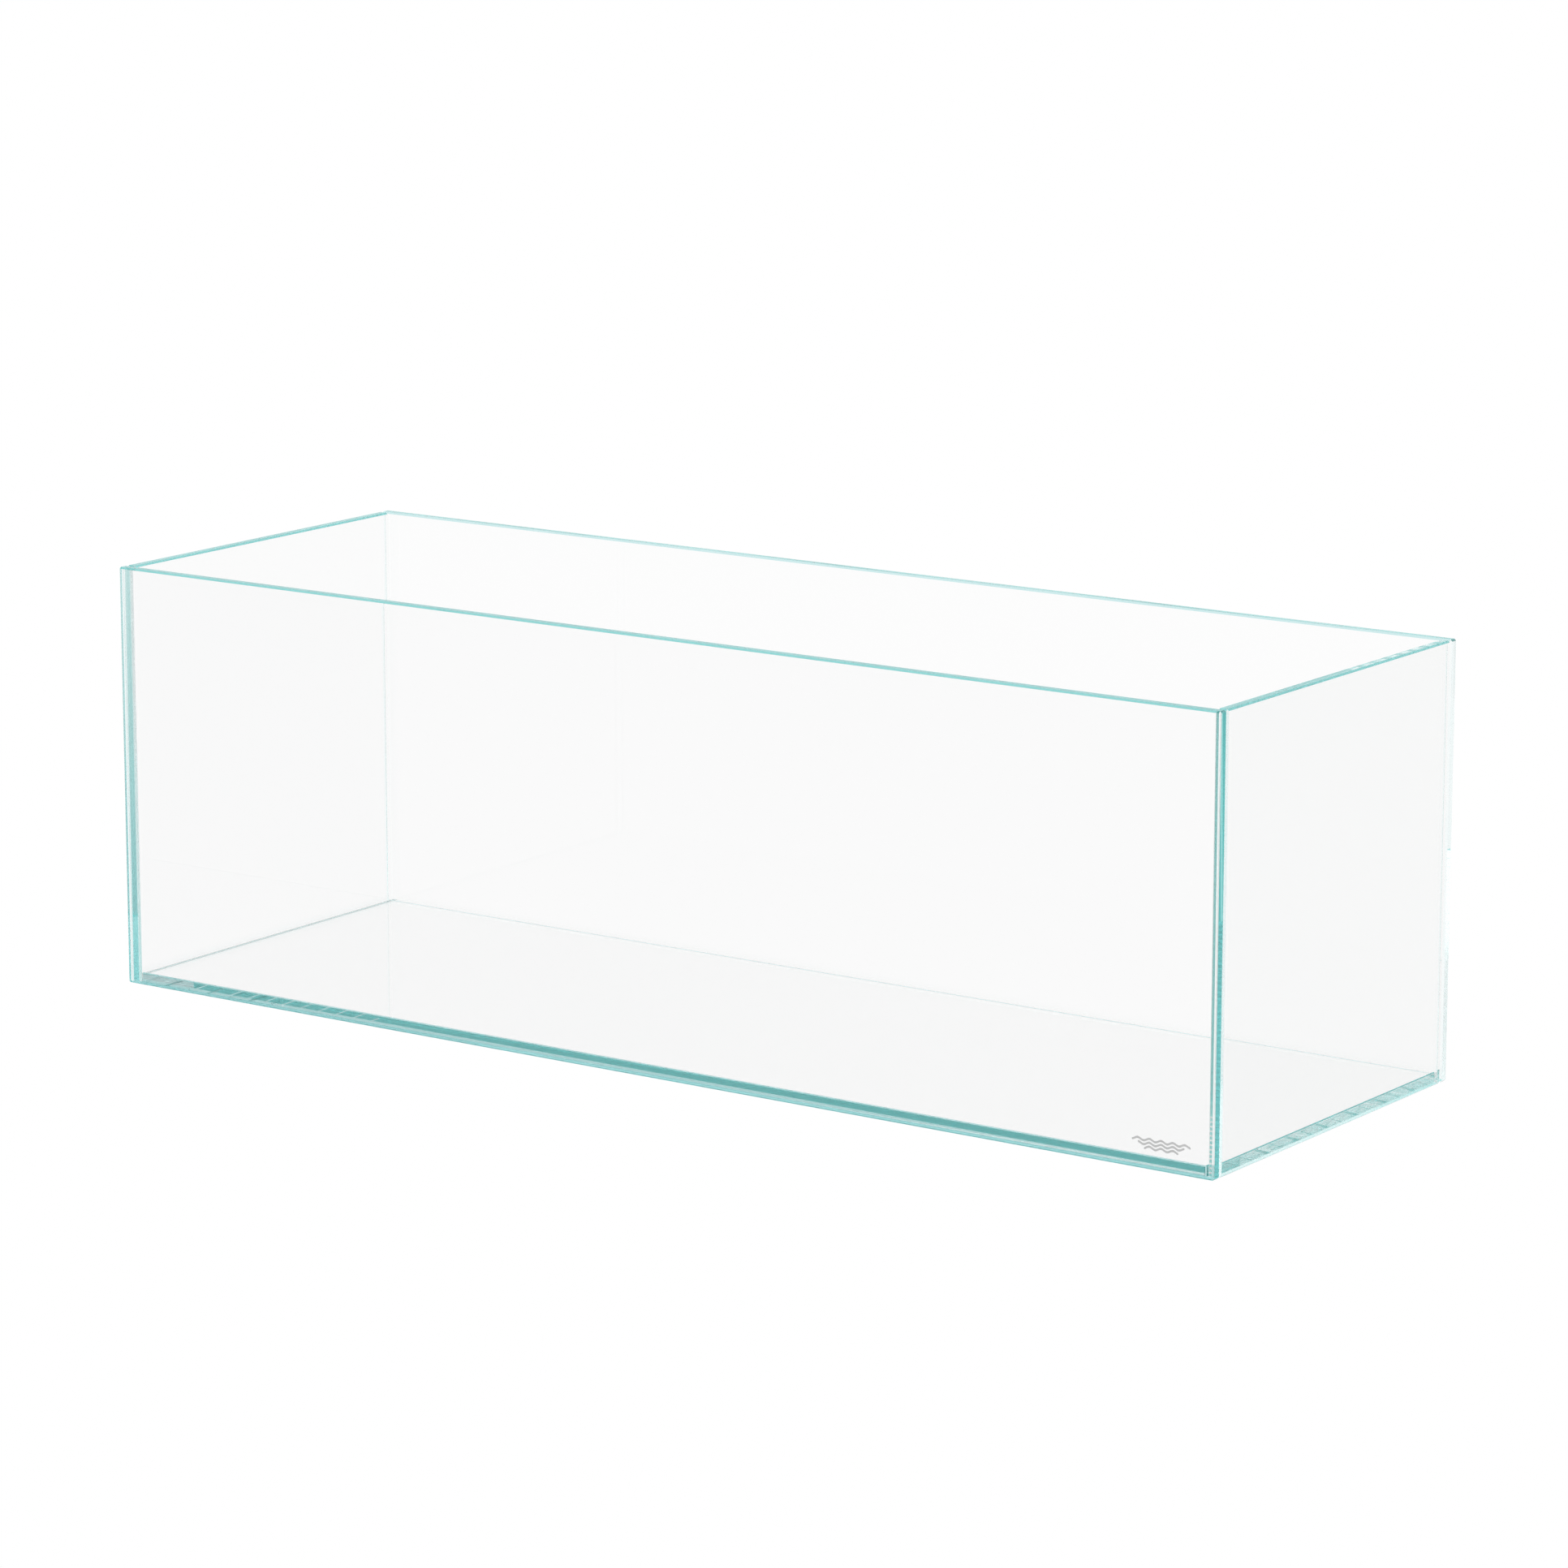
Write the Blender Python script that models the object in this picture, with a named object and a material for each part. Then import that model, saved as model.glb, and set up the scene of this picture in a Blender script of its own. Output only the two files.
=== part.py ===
"""Rimless glass aquarium tank: five low-iron glass panes bonded edge to face with clear silicone.

The front and back panes run the full length and the end panes stand between them. The base lies
inside the four walls, with its underside level with their lower edges. Every glass edge has a
small ground arris, which is finer on the base. Each joint holds one thin bead of silicone,
trimmed back level with the arrises, so there are four upright beads in the corners and four
round the base.

Metres, +Z up. X runs along the length, the front faces -Y, and the origin is at the centre of
the underside.
"""

import bpy

# Outside of the finished tank
LENGTH = 0.600
WIDTH = 0.200
HEIGHT = 0.200

# Glass
WALL_GLASS = 0.005
BASE_GLASS = 0.005
WALL_ARRIS = 0.0008
BASE_ARRIS = 0.0004

# Silicone joints: the space between two panes, and the clearance on each side of a bead in it
JOINT = 0.0008
BEAD_CLEARANCE = 0.0003

# Places that follow from the sizes above
WALL_INSIDE_X = LENGTH / 2 - WALL_GLASS
WALL_INSIDE_Y = WIDTH / 2 - WALL_GLASS
END_HALF_WIDTH = WALL_INSIDE_Y - JOINT
BASE_HALF_LENGTH = WALL_INSIDE_X - JOINT
BASE_HALF_WIDTH = WALL_INSIDE_Y - JOINT


def clear_scene():
    """Empties the scene, so that only the tank is left in it."""
    for found in list(bpy.data.objects):
        bpy.data.objects.remove(found, do_unlink=True)


def make_material(name, colour, roughness, transmission, ior):
    """A clear Principled material."""
    material = bpy.data.materials.new(name)
    material.use_nodes = True
    shader = material.node_tree.nodes["Principled BSDF"]
    shader.inputs["Base Color"].default_value = (*colour, 1.0)
    shader.inputs["Roughness"].default_value = roughness
    shader.inputs["Metallic"].default_value = 0.0
    shader.inputs["Transmission Weight"].default_value = transmission
    shader.inputs["IOR"].default_value = ior
    material.diffuse_color = (*colour, 0.4)
    return material


def add_block(name, low, high, material):
    """A rectangular solid between two corners, with its origin at its own centre."""
    centre = [(a + b) / 2 for a, b in zip(low, high)]
    half = [(b - a) / 2 for a, b in zip(low, high)]
    signs = [(x, y, z) for x in (-1, 1) for y in (-1, 1) for z in (-1, 1)]
    points = [[s * h for s, h in zip(sign, half)] for sign in signs]
    faces = [(0, 1, 3, 2), (4, 6, 7, 5), (0, 4, 5, 1), (2, 3, 7, 6), (0, 2, 6, 4), (1, 5, 7, 3)]
    mesh = bpy.data.meshes.new(name)
    mesh.from_pydata(points, [], faces)
    mesh.materials.append(material)
    block = bpy.data.objects.new(name, mesh)
    block.location = centre
    bpy.context.scene.collection.objects.link(block)
    return block


def add_pane(name, low, high, arris, material):
    """A sheet of glass with all its edges eased by a flat arris."""
    pane = add_block(name, low, high, material)
    bevel = pane.modifiers.new("arris", "BEVEL")
    bevel.width = arris
    bevel.segments = 1
    bevel.limit_method = "ANGLE"
    bevel.use_clamp_overlap = True
    return pane


def add_long_walls(glass):
    """The front and back panes, over the full length of the tank."""
    for name, side in (("front_pane", -1), ("back_pane", 1)):
        near, far = sorted((side * WALL_INSIDE_Y, side * WIDTH / 2))
        add_pane(name, (-LENGTH / 2, near, 0), (LENGTH / 2, far, HEIGHT), WALL_ARRIS, glass)


def add_end_walls(glass):
    """The left and right panes, which stand between the long ones."""
    for name, side in (("left_pane", -1), ("right_pane", 1)):
        near, far = sorted((side * WALL_INSIDE_X, side * LENGTH / 2))
        low, high = (near, -END_HALF_WIDTH, 0), (far, END_HALF_WIDTH, HEIGHT)
        add_pane(name, low, high, WALL_ARRIS, glass)


def add_base(glass):
    """The bottom pane, inside the four walls and level with their lower edges."""
    low = (-BASE_HALF_LENGTH, -BASE_HALF_WIDTH, 0)
    high = (BASE_HALF_LENGTH, BASE_HALF_WIDTH, BASE_GLASS)
    add_pane("base_pane", low, high, BASE_ARRIS, glass)


def add_corner_beads(silicone):
    """The four upright beads, between an end pane's edge and a long pane's inner face."""
    for end, side_x in (("left", -1), ("right", 1)):
        inner = side_x * (WALL_INSIDE_X + WALL_ARRIS)
        outer = side_x * (LENGTH / 2 - WALL_ARRIS)
        near_x, far_x = sorted((inner, outer))
        for face, side_y in (("front", -1), ("back", 1)):
            inner = side_y * (END_HALF_WIDTH + BEAD_CLEARANCE)
            outer = side_y * (WALL_INSIDE_Y - BEAD_CLEARANCE)
            near_y, far_y = sorted((inner, outer))
            low = (near_x, near_y, WALL_ARRIS)
            high = (far_x, far_y, HEIGHT - WALL_ARRIS)
            add_block(f"corner_bead_{face}_{end}", low, high, silicone)


def add_base_beads(silicone):
    """The four beads round the base, between its edges and the walls' inner faces."""
    bottom, top = BASE_ARRIS, BASE_GLASS - BASE_ARRIS
    for name, side in (("base_bead_front", -1), ("base_bead_back", 1)):
        inner = side * (BASE_HALF_WIDTH + BEAD_CLEARANCE)
        outer = side * (WALL_INSIDE_Y - BEAD_CLEARANCE)
        near, far = sorted((inner, outer))
        reach = BASE_HALF_LENGTH - BASE_ARRIS
        add_block(name, (-reach, near, bottom), (reach, far, top), silicone)
    for name, side in (("base_bead_left", -1), ("base_bead_right", 1)):
        inner = side * (BASE_HALF_LENGTH + BEAD_CLEARANCE)
        outer = side * (WALL_INSIDE_X - BEAD_CLEARANCE)
        near, far = sorted((inner, outer))
        reach = BASE_HALF_WIDTH - BASE_ARRIS
        add_block(name, (near, -reach, bottom), (far, reach, top), silicone)


def build():
    """Makes the whole tank."""
    clear_scene()
    glass = make_material("low_iron_glass", (0.86, 0.97, 0.96), 0.0, 1.0, 1.52)
    silicone = make_material("clear_silicone", (0.93, 0.96, 0.96), 0.25, 0.85, 1.41)
    add_long_walls(glass)
    add_end_walls(glass)
    add_base(glass)
    add_corner_beads(silicone)
    add_base_beads(silicone)


build()
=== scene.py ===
import math

import bmesh
import bpy
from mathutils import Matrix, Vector


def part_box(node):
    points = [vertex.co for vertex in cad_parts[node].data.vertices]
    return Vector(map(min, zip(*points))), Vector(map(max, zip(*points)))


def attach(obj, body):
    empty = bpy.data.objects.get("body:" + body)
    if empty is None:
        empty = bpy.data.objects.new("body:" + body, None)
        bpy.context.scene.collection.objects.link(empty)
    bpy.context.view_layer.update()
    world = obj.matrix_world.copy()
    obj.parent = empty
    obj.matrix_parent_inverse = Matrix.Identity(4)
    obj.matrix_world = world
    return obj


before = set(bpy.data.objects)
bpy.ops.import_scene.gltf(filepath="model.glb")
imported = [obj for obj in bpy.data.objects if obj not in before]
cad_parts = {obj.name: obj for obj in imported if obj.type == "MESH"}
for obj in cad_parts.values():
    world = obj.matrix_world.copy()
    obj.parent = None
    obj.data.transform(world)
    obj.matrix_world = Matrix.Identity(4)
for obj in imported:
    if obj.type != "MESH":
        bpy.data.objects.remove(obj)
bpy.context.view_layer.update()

# Camera: angles in degrees, lens and sensor in millimetres, and distances in metres
CAMERA_AZIMUTH = 35.164
CAMERA_ELEVATION = 12.009
CAMERA_DISTANCE = 2.69238
CAMERA_AIM = Vector((0.00505, 0.00743, 0.11488))
CAMERA_LENS = 135.517
CAMERA_SENSOR = 36.0
CAMERA_REACH = 100.0

# Light: an even room, brighter where a direction's Z is over SKY_START, and a lit floor
WORLD_LIGHT = 1.0
SKY_LIGHT = 1.4
SKY_START = 0.3
SKY_END = 0.7
FLOOR_LIGHT = 1.0
FLOOR_SIZE = 60.0
FLOOR_DROP = 0.0005

# Glass, with its absorption per metre. The back pane is the clearest, so its ends come out
# nearly white.
GLASS_IOR = 1.52
GLASS_GLARE = 0.35
GLASS_ABSORPTION = (0.10, 0.03, 0.03)
BACK_ABSORPTION = (0.012, 0.010, 0.010)
FINE_ARRIS = 0.2
COARSE_ARRIS = 1.0

# What light keeps on its way into a pane and out again. The faces of the left, right and
# base panes are darker than FACE as painted shade.
FACE = (0.978, 0.978, 0.978)
SHADED_LEFT_FACE = (0.965, 0.966, 0.966)
SHADED_RIGHT_FACE = (0.948, 0.953, 0.951)
SHADED_BASE_FACE = (0.940, 0.942, 0.942)
DEEP_EDGE = (0.045, 0.37, 0.355)
EDGE = (0.10, 0.50, 0.49)
PALE_EDGE = (0.42, 0.72, 0.73)
PALEST_EDGE = (0.62, 0.81, 0.80)
GREY_EDGE = (0.56, 0.58, 0.58)
CLEAR = (0.97, 0.975, 0.975)

# The directions that a pane's surfaces face, left and right alike and front and back alike:
# its flats, then its upright, upper and lower arrises
HALF = math.sqrt(0.5)
DIRECTIONS = {
    "x": (1, 0, 0),
    "y": (0, 1, 0),
    "top": (0, 0, 1),
    "bottom": (0, 0, -1),
    "x_y": (HALF, HALF, 0),
    "x_top": (HALF, 0, HALF),
    "y_top": (0, HALF, HALF),
    "x_bottom": (HALF, 0, -HALF),
    "y_bottom": (0, HALF, -HALF),
}
POLISHED = ("x", "y", "top", "bottom")
LEAST_FACING = 0.95

# Slow changes of tint along a cut edge, and the grain of a ground arris, per metre
STREAK_SCALE = 45.0
STREAK_DETAIL = 4.0
STREAK_TINT = (0.80, 0.93, 0.93)
GRAIN_SCALE = 2400.0
GRAIN_DETAIL = 2.0

# Fine lines across the cut edges: how far a line leans for each metre of height, the space
# from one line to the next, and a line's width. The base's front edge has them from its left
# end to FRONT_LINES_END, is grey up to FRONT_GREY_END and is paler below FRONT_FOOT_TOP, a
# strip of painted light. The base's end edges have thick and thin ones, and are deeper from
# the front to END_CORNER_END.
FRONT_LINES = (-2.4, 0.0106, 0.0010)
FRONT_LINES_END = -0.150
FRONT_GREY_END = -0.262
FRONT_FOOT_TOP = 0.0018
FOOT_PAINTED_LIGHT = (0.70, 0.92, 0.92)
END_LINES = (2.8, 0.0252, 0.0028)
THIN_END_LINES = (2.8, 0.0126, 0.0009)
END_CORNER_END = -0.074

# Clear dashes, in the same form: low on the right pane's front edge, and on its rim towards
# the back
DASHES = (0.0, 0.0020, 0.0007)
DASHES_TOP = 0.028
RIM_DASHES = (0.0, 0.0110, 0.0070)
RIM_DASHES_START = 0.010

# Painted shade: a darker border on the base's underside, at its ends and at its long sides
UNDERSIDE_SHADE_WIDTH = (0.0014, 0.0004)
UNDERSIDE_SHADE_TINT = (0.16, 0.23, 0.22)

# The printed mark: waves on the inner face of the front pane
MARK_CENTRE = (0.27245, 0.01025)
MARK_LENGTHS = (0.029, 0.023, 0.017)
MARK_PITCH = 0.0017
MARK_WAVE = 0.0058
MARK_SWING = 0.0005
MARK_STROKE = 0.0010
MARK_TIP = MARK_STROKE / 16
MARK_GAP = 0.00002
MARK_FILM = 0.00003
MARK_STEPS = 120
MARK_GREY = (0.46, 0.46, 0.46)
THIN_INK = 1.12
INK_SCALE = 3000.0
INK_DETAIL = 3.0
INK_ROUGHNESS = 0.15

# Silicone: how much of the light each bead lets through, at its lower and its upper end. The
# three front beads are darker as painted shade, the front left one most at its lower end
SILICONE_IOR = 1.41
SILICONE_GLARE = 0.05
SILICONE_ROUGHNESS = 0.03
RIPPLE_SCALE = 350.0
RIPPLE_DETAIL = 3.0
BEAD_TINT = (0.98, 0.985, 0.985)
BEAD_SHADE_TINTS = {
    "corner_bead_front_right": ((0.90, 0.80, 0.79), (0.90, 0.80, 0.79)),
    "corner_bead_front_left": ((0.36, 0.68, 0.69), (0.98, 0.98, 0.98)),
    "base_bead_front": ((0.90, 0.86, 0.86), (0.90, 0.86, 0.86)),
}

# How often light may bounce: through and off glass, and off matt surfaces
BOUNCES = 160
MATT_BOUNCES = 4


class Look:
    """A material, with short calls for the nodes that it is made of."""

    def __init__(self, name):
        self.material = bpy.data.materials.new(name)
        self.material.use_nodes = True
        self.nodes = self.material.node_tree.nodes
        self.links = self.material.node_tree.links
        self.shader = self.nodes["Principled BSDF"].inputs

    def feed(self, socket, value):
        """Links another socket to this one, or sets it to a number, a vector or a colour."""
        if isinstance(value, bpy.types.NodeSocket):
            self.links.new(value, socket)
        elif socket.type == "RGBA":
            socket.default_value = (*value, 1.0)
        else:
            socket.default_value = value

    def math(self, operation, first, second=0.0):
        node = self.nodes.new("ShaderNodeMath")
        node.operation = operation
        self.feed(node.inputs[0], first)
        self.feed(node.inputs[1], second)
        return node.outputs["Value"]

    def vector_math(self, operation, first, second=(0, 0, 0)):
        node = self.nodes.new("ShaderNodeVectorMath")
        node.operation = operation
        self.feed(node.inputs[0], first)
        self.feed(node.inputs[1], second)
        return node.outputs

    def mix(self, factor, first, second, blend="MIX"):
        """A mix of two colours."""
        node = self.nodes.new("ShaderNodeMix")
        node.data_type = "RGBA"
        node.blend_type = blend
        self.feed(node.inputs["Factor"], factor)
        sockets = {socket.name: socket for socket in node.inputs if socket.type == "RGBA"}
        self.feed(sockets["A"], first)
        self.feed(sockets["B"], second)
        return next(socket for socket in node.outputs if socket.type == "RGBA")

    def place(self, coordinates="Object"):
        """The X, Y and Z of a point: in the tank's own metres, or Generated, from 0 to 1 in its piece."""
        texture = self.nodes.new("ShaderNodeTexCoord")
        parts = self.nodes.new("ShaderNodeSeparateXYZ")
        self.links.new(texture.outputs[coordinates], parts.inputs["Vector"])
        return parts.outputs

    def noise(self, scale, detail):
        """Noise from 0 to 1, with its scale per metre."""
        coordinates = self.nodes.new("ShaderNodeTexCoord")
        texture = self.nodes.new("ShaderNodeTexNoise")
        texture.inputs["Scale"].default_value = scale
        texture.inputs["Detail"].default_value = detail
        self.links.new(coordinates.outputs["Object"], texture.inputs["Vector"])
        return texture.outputs["Fac"]

    def absorb(self, per_metre):
        """Fills the inside with a plain absorption, given for each colour per metre of glass."""
        density = max(per_metre)
        volume = self.nodes.new("ShaderNodeVolumeAbsorption")
        self.feed(volume.inputs["Color"], tuple(1 - k / density for k in per_metre))
        self.feed(volume.inputs["Density"], density)
        self.links.new(volume.outputs["Volume"], self.nodes["Material Output"].inputs["Volume"])


def folded_normal(look, middle):
    """The surface's normal with its X and Y made positive, and its Z positive above a height.

    Cycles turns a normal round for light inside the glass, and this comes out the same for it.
    """
    geometry = look.nodes.new("ShaderNodeNewGeometry")
    unsigned = look.vector_math("ABSOLUTE", geometry.outputs["True Normal"])["Vector"]
    above = look.math("SUBTRACT", look.place()["Z"], middle)
    signs = look.nodes.new("ShaderNodeCombineXYZ")
    look.feed(signs.inputs["X"], 1.0)
    look.feed(signs.inputs["Y"], 1.0)
    look.feed(signs.inputs["Z"], look.math("SIGN", above))
    return look.vector_math("MULTIPLY", unsigned, signs.outputs["Vector"])["Vector"]


def facing(look, normal, direction):
    """1 on the surfaces that face one of the DIRECTIONS, else 0."""
    along = look.vector_math("DOT_PRODUCT", normal, DIRECTIONS[direction])["Value"]
    return look.math("GREATER_THAN", along, LEAST_FACING)


def lines(look, axis, pattern):
    """1 on lines at an even space along an axis, else 0."""
    lean, space, width = pattern
    point = look.place()
    along = look.math("ADD", point[axis], look.math("MULTIPLY", point["Z"], lean))
    return look.math("LESS_THAN", look.math("FLOORED_MODULO", along, space), width)


def base_long_edge(look):
    """The base's front edge is deep, with clear lines near its left end, and its back is pale."""
    point = look.place()
    corner = look.math("LESS_THAN", point["X"], FRONT_GREY_END)
    front = look.mix(corner, DEEP_EDGE, GREY_EDGE)
    near_left = look.math("LESS_THAN", point["X"], FRONT_LINES_END)
    line = look.math("MULTIPLY", near_left, lines(look, "X", FRONT_LINES))
    front = look.mix(line, front, CLEAR)
    # Painted light: the front edge is paler in its lowest strip, next to the lit floor.
    front = look.mix(look.math("LESS_THAN", point["Z"], FRONT_FOOT_TOP), front, FOOT_PAINTED_LIGHT)
    return look.mix(look.math("LESS_THAN", point["Y"], 0.0), PALE_EDGE, front)


def base_end_edge(look):
    """The base's end edges are pale, with deeper lines and a deeper front corner."""
    corner = look.math("LESS_THAN", look.place()["Y"], END_CORNER_END)
    tint = look.mix(corner, PALEST_EDGE, EDGE)
    thick = lines(look, "Y", END_LINES)
    thin = lines(look, "Y", THIN_END_LINES)
    return look.mix(look.math("MAXIMUM", thick, thin), tint, DEEP_EDGE)


def dashed_upright(look):
    """The right pane's upright edges: clear dashes low on the front one, and a clear back one."""
    point = look.place()
    low = look.math("LESS_THAN", point["Z"], DASHES_TOP)
    dash = look.math("MULTIPLY", lines(look, "Z", DASHES), low)
    behind = look.math("GREATER_THAN", point["Y"], 0.0)
    return look.mix(look.math("MAXIMUM", dash, behind), EDGE, CLEAR)


def dashed_rim(look):
    """The right pane's rim is deep, and breaks up into clear dashes towards the back."""
    far = look.math("GREATER_THAN", look.place()["Y"], RIM_DASHES_START)
    dash = look.math("MULTIPLY", lines(look, "Y", RIM_DASHES), far)
    return look.mix(dash, EDGE, CLEAR)


def base_underside(look):
    """The base's underside, with painted shade along its border."""
    point = look.place()
    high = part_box("base_pane")[1]
    strips = []
    for axis, edge, width in zip("XY", high, UNDERSIDE_SHADE_WIDTH):
        from_middle = look.math("ABSOLUTE", point[axis])
        strips.append(look.math("GREATER_THAN", from_middle, edge - width))
    return look.mix(look.math("MAXIMUM", *strips), SHADED_BASE_FACE, UNDERSIDE_SHADE_TINT)


# The tints of the edges that all four walls share: the cut edges are blue-green
WALL_EDGES = {
    "top": EDGE,
    "bottom": EDGE,
    "x_y": CLEAR,
    "x_top": EDGE,
    "y_top": EDGE,
    "x_bottom": PALE_EDGE,
    "y_bottom": PALE_EDGE,
}
BACK_EDGES = {"x": CLEAR, "y_top": PALE_EDGE, "x_bottom": CLEAR, "y_bottom": CLEAR}
BASE_EDGES = {
    "x": base_end_edge,
    "y": base_long_edge,
    "x_y": CLEAR,
    "x_top": EDGE,
    "y_top": CLEAR,
    "x_bottom": PALE_EDGE,
    "y_bottom": PALE_EDGE,
}

# Each pane's cut edges, and then its two broad faces: a tint, or a function that makes one
PANES = {
    "front_pane": (WALL_EDGES | {"x": EDGE}, {"y": FACE}),
    "back_pane": (WALL_EDGES | BACK_EDGES, {"y": FACE}),
    "left_pane": (WALL_EDGES | {"y": PALEST_EDGE}, {"x": SHADED_LEFT_FACE}),
    "right_pane": (WALL_EDGES | {"y": dashed_upright, "top": dashed_rim}, {"x": SHADED_RIGHT_FACE}),
    "base_pane": (BASE_EDGES, {"top": SHADED_BASE_FACE, "bottom": base_underside}),
}


def tinted(look, normal, tints, rest):
    """The tint of the surfaces that face the given directions, over the tint of the rest."""
    for direction, tint in tints.items():
        mask = facing(look, normal, direction)
        rest = look.mix(mask, rest, tint(look) if callable(tint) else tint)
    return rest


def arris_mask(look, normal):
    """1 on the arrises, else 0."""
    mask = 1.0
    for direction in POLISHED:
        mask = look.math("MULTIPLY", look.math("SUBTRACT", 1.0, facing(look, normal, direction)), mask)
    return mask


def arris_roughness(look, pane, normal):
    """The base's arrises and the front pane's long lower ones are coarse, and the rest are fine."""
    if pane == "base_pane":
        return COARSE_ARRIS
    if pane != "front_pane":
        return FINE_ARRIS
    low = facing(look, normal, "y_bottom")
    return look.math("ADD", look.math("MULTIPLY", low, COARSE_ARRIS - FINE_ARRIS), FINE_ARRIS)


def glass_material(pane):
    """Clear glass whose cut edges are blue-green and whose arrises are ground."""
    look = Look(pane + "_glass")
    edges, faces = PANES[pane]
    low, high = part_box(pane)
    normal = folded_normal(look, (low[2] + high[2]) / 2)
    streaks = look.mix(look.noise(STREAK_SCALE, STREAK_DETAIL), (1.0, 1.0, 1.0), STREAK_TINT)
    tint = look.mix(1.0, tinted(look, normal, edges, CLEAR), streaks, "MULTIPLY")
    look.feed(look.shader["Base Color"], tinted(look, normal, faces, tint))
    grain = look.math("MULTIPLY", look.noise(GRAIN_SCALE, GRAIN_DETAIL), 2.0)
    ground = look.math("MULTIPLY", grain, arris_roughness(look, pane, normal))
    look.feed(look.shader["Roughness"], look.math("MULTIPLY", ground, arris_mask(look, normal)))
    look.feed(look.shader["Specular Tint"], (GLASS_GLARE, GLASS_GLARE, GLASS_GLARE))
    look.feed(look.shader["IOR"], GLASS_IOR)
    look.feed(look.shader["Transmission Weight"], 1.0)
    look.absorb(BACK_ABSORPTION if pane == "back_pane" else GLASS_ABSORPTION)
    return look.material


def silicone_material(bead):
    """Clear silicone, which wets the glass on both sides and so has hardly any glare of its own."""
    look = Look(bead + "_silicone")
    # The front beads' darker tints are painted shade.
    low, high = BEAD_SHADE_TINTS.get(bead, (BEAD_TINT, BEAD_TINT))
    tint = low
    if low != high:
        tint = look.mix(look.place("Generated")["Z"], low, high)
    look.feed(look.shader["Base Color"], tint)
    ripple = look.noise(RIPPLE_SCALE, RIPPLE_DETAIL)
    look.feed(look.shader["Roughness"], look.math("MULTIPLY", ripple, 2 * SILICONE_ROUGHNESS))
    look.feed(look.shader["IOR"], SILICONE_IOR)
    look.feed(look.shader["Specular Tint"], (SILICONE_GLARE, SILICONE_GLARE, SILICONE_GLARE))
    look.feed(look.shader["Transmission Weight"], 1.0)
    return look.material


def ink_material():
    """Matt grey printing ink, slightly uneven where the screen left it thin."""
    look = Look("grey_ink")
    grain = look.noise(INK_SCALE, INK_DETAIL)
    thin = tuple(THIN_INK * part for part in MARK_GREY)
    look.feed(look.shader["Base Color"], look.mix(grain, MARK_GREY, thin))
    look.feed(look.shader["Roughness"], look.math("ADD", grain, INK_ROUGHNESS))
    return look.material


def give(name, material):
    """Makes this the one material of a piece of the frame."""
    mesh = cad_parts[name].data
    mesh.materials.clear()
    mesh.materials.append(material)


def add_wave(bm, length, height, face):
    """One wavy stroke of ink as a closed film, with rounded ends."""
    radius = MARK_STROKE / 2
    rings = []
    for step in range(MARK_STEPS + 1):
        along = (2 * step / MARK_STEPS - 1) * length / 2
        x = MARK_CENTRE[0] + along
        z = height + MARK_SWING * math.cos(2 * math.pi * along / MARK_WAVE)
        into_end = max(radius - (length / 2 - abs(along)), 0)
        half = max(math.sqrt(max(radius**2 - into_end**2, 0)), MARK_TIP)
        corners = [(face, -half), (face, half), (face + MARK_FILM, half), (face + MARK_FILM, -half)]
        rings.append([bm.verts.new((x, y, z + dz)) for y, dz in corners])
    for first, second in zip(rings, rings[1:]):
        for k in range(4):
            bm.faces.new((first[k], second[k], second[(k + 1) % 4], first[(k + 1) % 4]))
    bm.faces.new(rings[0])
    bm.faces.new(rings[-1][::-1])


def add_mark():
    """Three level waves, printed low down near the right end of the front pane."""
    bm = bmesh.new()
    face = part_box("front_pane")[1][1] + MARK_GAP
    for row, length in enumerate(MARK_LENGTHS):
        add_wave(bm, length, MARK_CENTRE[1] + (1 - row) * MARK_PITCH, face)
    bmesh.ops.recalc_face_normals(bm, faces=bm.faces)
    mesh = bpy.data.meshes.new("printed_mark")
    bm.to_mesh(mesh)
    bm.free()
    mesh.materials.append(ink_material())
    mark = bpy.data.objects.new("printed_mark", mesh)
    bpy.context.scene.collection.objects.link(mark)
    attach(mark, "root")


def add_floor():
    """A pale lit floor, like the acrylic top of a light table."""
    half = FLOOR_SIZE / 2
    corners = [(-half, -half, 0), (half, -half, 0), (half, half, 0), (-half, half, 0)]
    mesh = bpy.data.meshes.new("floor")
    mesh.from_pydata(corners, [], [(0, 1, 2, 3)])
    look = Look("floor")
    look.feed(look.shader["Base Color"], (0.0, 0.0, 0.0))
    look.feed(look.shader["Specular IOR Level"], 0.0)
    look.feed(look.shader["Emission Color"], (1.0, 1.0, 1.0))
    look.feed(look.shader["Emission Strength"], FLOOR_LIGHT)
    mesh.materials.append(look.material)
    floor = bpy.data.objects.new("floor", mesh)
    floor.location.z = -FLOOR_DROP
    bpy.context.scene.collection.objects.link(floor)


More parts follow.
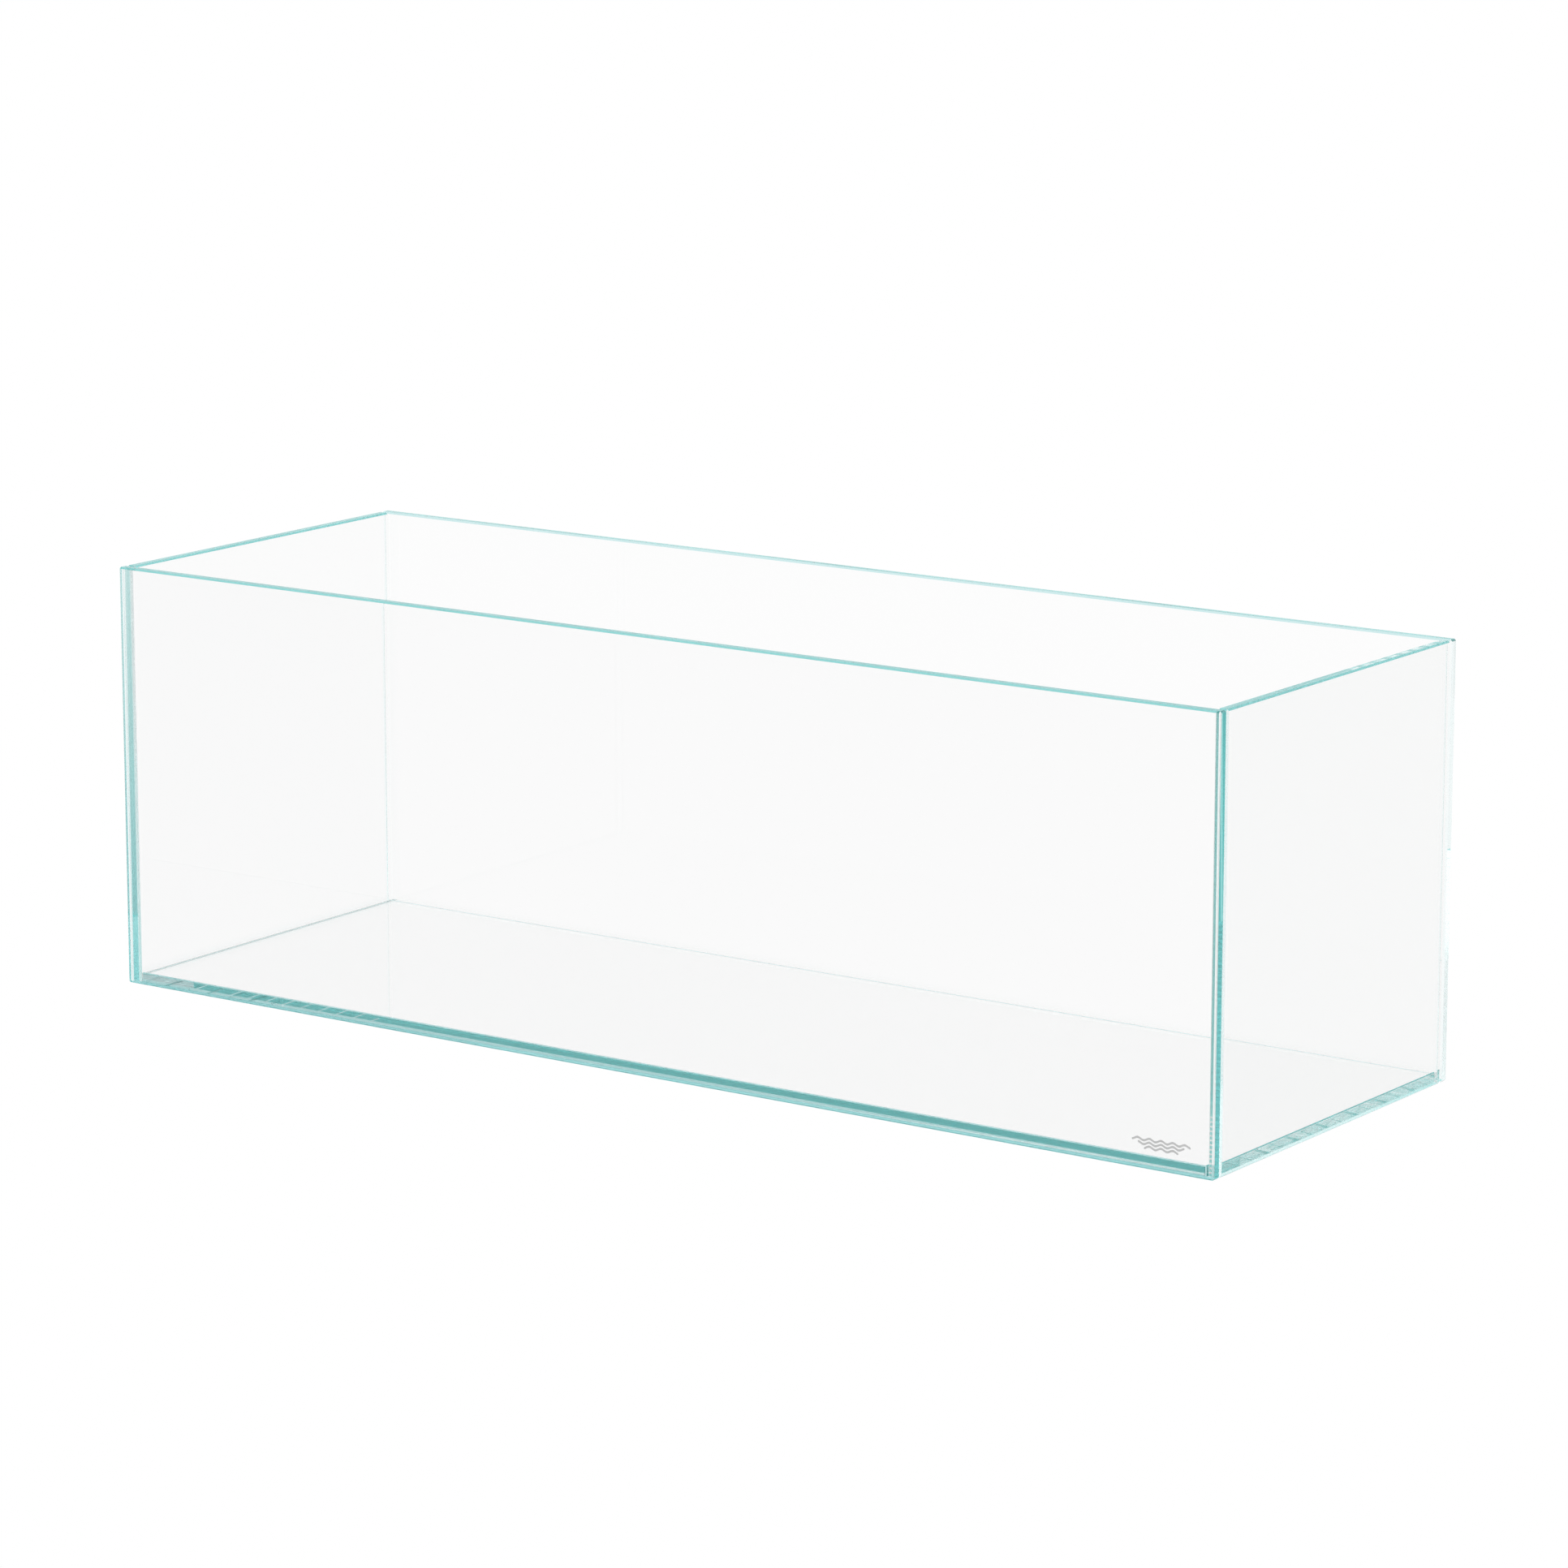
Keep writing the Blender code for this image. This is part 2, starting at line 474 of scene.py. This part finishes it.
def add_world():
    """An even white room with a brighter soft light overhead."""
    world = bpy.data.worlds.new("studio")
    world.use_nodes = True
    nodes, links = world.node_tree.nodes, world.node_tree.links
    coordinates = nodes.new("ShaderNodeTexCoord")
    parts = nodes.new("ShaderNodeSeparateXYZ")
    links.new(coordinates.outputs["Generated"], parts.inputs["Vector"])
    ramp = nodes.new("ShaderNodeMapRange")
    ramp.interpolation_type = "SMOOTHSTEP"
    links.new(parts.outputs["Z"], ramp.inputs["Value"])
    ramp.inputs["From Min"].default_value = SKY_START
    ramp.inputs["From Max"].default_value = SKY_END
    ramp.inputs["To Min"].default_value = WORLD_LIGHT
    ramp.inputs["To Max"].default_value = SKY_LIGHT
    background = nodes["Background"]
    background.inputs["Color"].default_value = (1, 1, 1, 1)
    links.new(ramp.outputs["Result"], background.inputs["Strength"])
    bpy.context.scene.world = world


def add_camera():
    """A long lens that looks down on the front and the right end."""
    azimuth, elevation = math.radians(CAMERA_AZIMUTH), math.radians(CAMERA_ELEVATION)
    back = Vector((
        math.sin(azimuth) * math.cos(elevation),
        -math.cos(azimuth) * math.cos(elevation),
        math.sin(elevation),
    ))
    data = bpy.data.cameras.new("camera")
    data.lens = CAMERA_LENS
    data.sensor_width = CAMERA_SENSOR
    data.clip_end = CAMERA_REACH
    camera = bpy.data.objects.new("camera", data)
    camera.location = CAMERA_AIM + CAMERA_DISTANCE * back
    camera.rotation_euler = back.to_track_quat("Z", "Y").to_euler()
    bpy.context.scene.collection.objects.link(camera)
    bpy.context.scene.camera = camera


def set_up_rendering():
    """Plain colours, and enough bounces for light that runs along inside a pane."""
    scene = bpy.context.scene
    scene.view_settings.view_transform = "Standard"
    scene.view_settings.look = "None"
    cycles = scene.cycles
    cycles.max_bounces = BOUNCES
    cycles.transmission_bounces = BOUNCES
    cycles.glossy_bounces = BOUNCES
    cycles.diffuse_bounces = MATT_BOUNCES
    cycles.caustics_refractive = True
    cycles.caustics_reflective = True
    cycles.blur_glossy = 0.0
    cycles.sample_clamp_indirect = 0.0
    cycles.use_denoising = True


for pane in PANES:
    give(pane, glass_material(pane))
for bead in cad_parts:
    if "_bead_" in bead:
        give(bead, silicone_material(bead))
add_mark()
add_floor()
add_world()
add_camera()
set_up_rendering()
